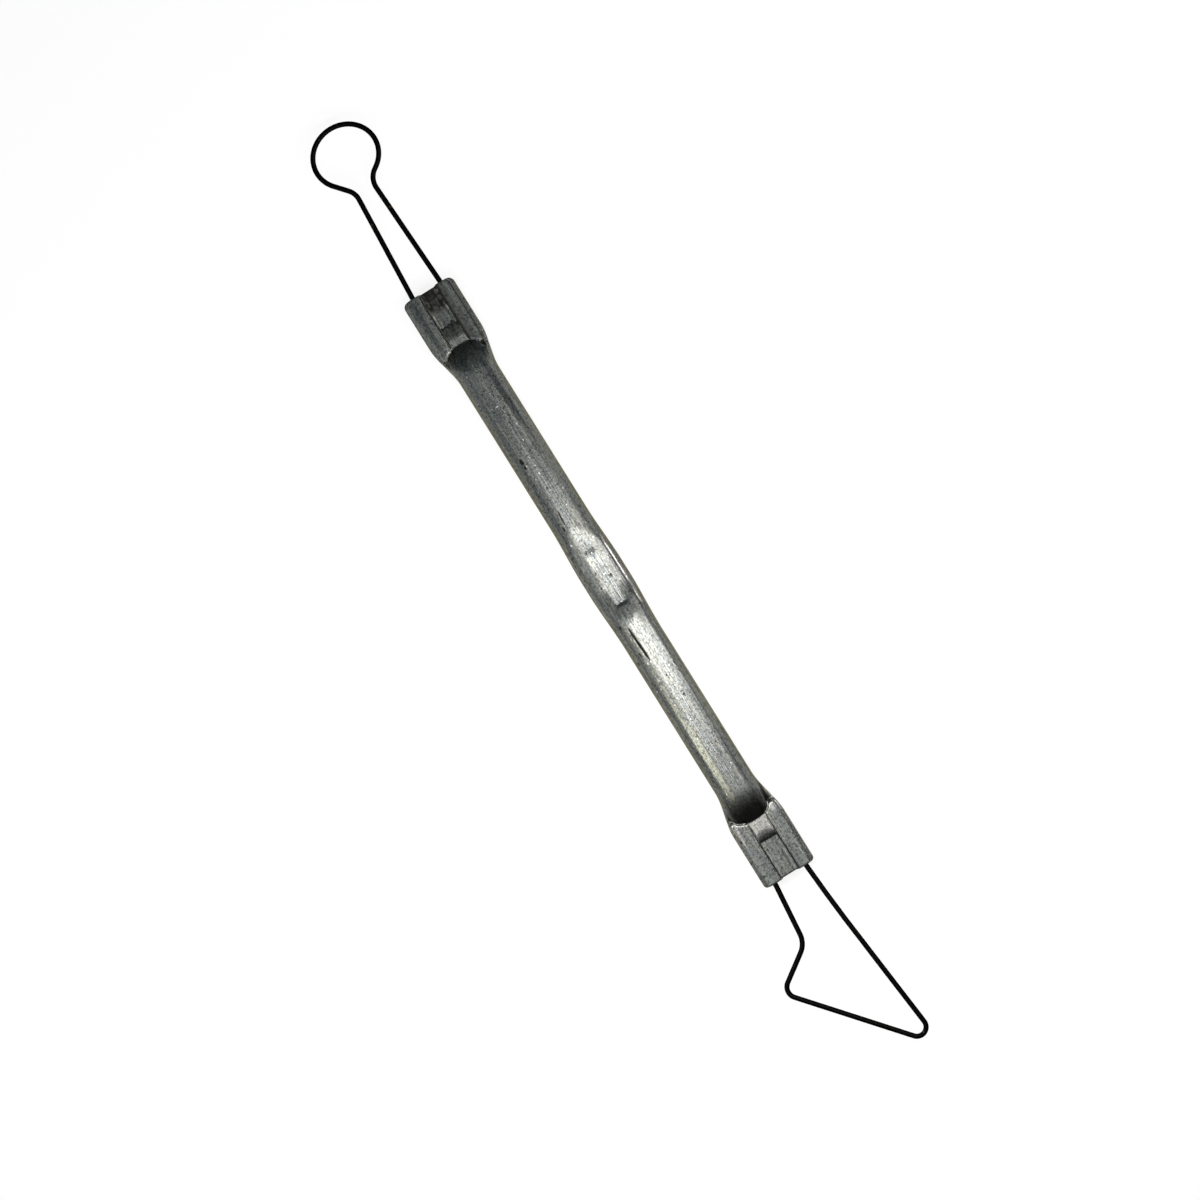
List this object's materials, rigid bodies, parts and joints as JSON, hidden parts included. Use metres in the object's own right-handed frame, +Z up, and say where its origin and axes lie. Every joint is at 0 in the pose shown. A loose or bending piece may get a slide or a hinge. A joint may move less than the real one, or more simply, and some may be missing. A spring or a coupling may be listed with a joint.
{
  "type": "pottery wire tool",
  "caption": "Double-ended wire trimming tool for clay: a crimped aluminium tube handle with a round wire loop at one end and an angular wire loop at the other.",
  "frame": {"origin": "middle of the small flat under the struck panel, on which the tool rests", "axes": "+X along the handle towards the angular loop, +Y to the side of that loop's toe, +Z up through the struck panel"},
  "size_m": [0.2031, 0.02, 0.0079],
  "materials": {
    "aged_aluminium": "drawn aluminium tube, dull with age, scratched along its length and dark with grime in its crimps",
    "dark_spring_steel": "black oxide spring steel wire, smooth with a low sheen"
  },
  "bodies": {
    "root": {"handle_tube": "aged_aluminium", "round_loop_wire": "dark_spring_steel", "angled_loop_wire": "dark_spring_steel"}
  },
  "joints": []
}
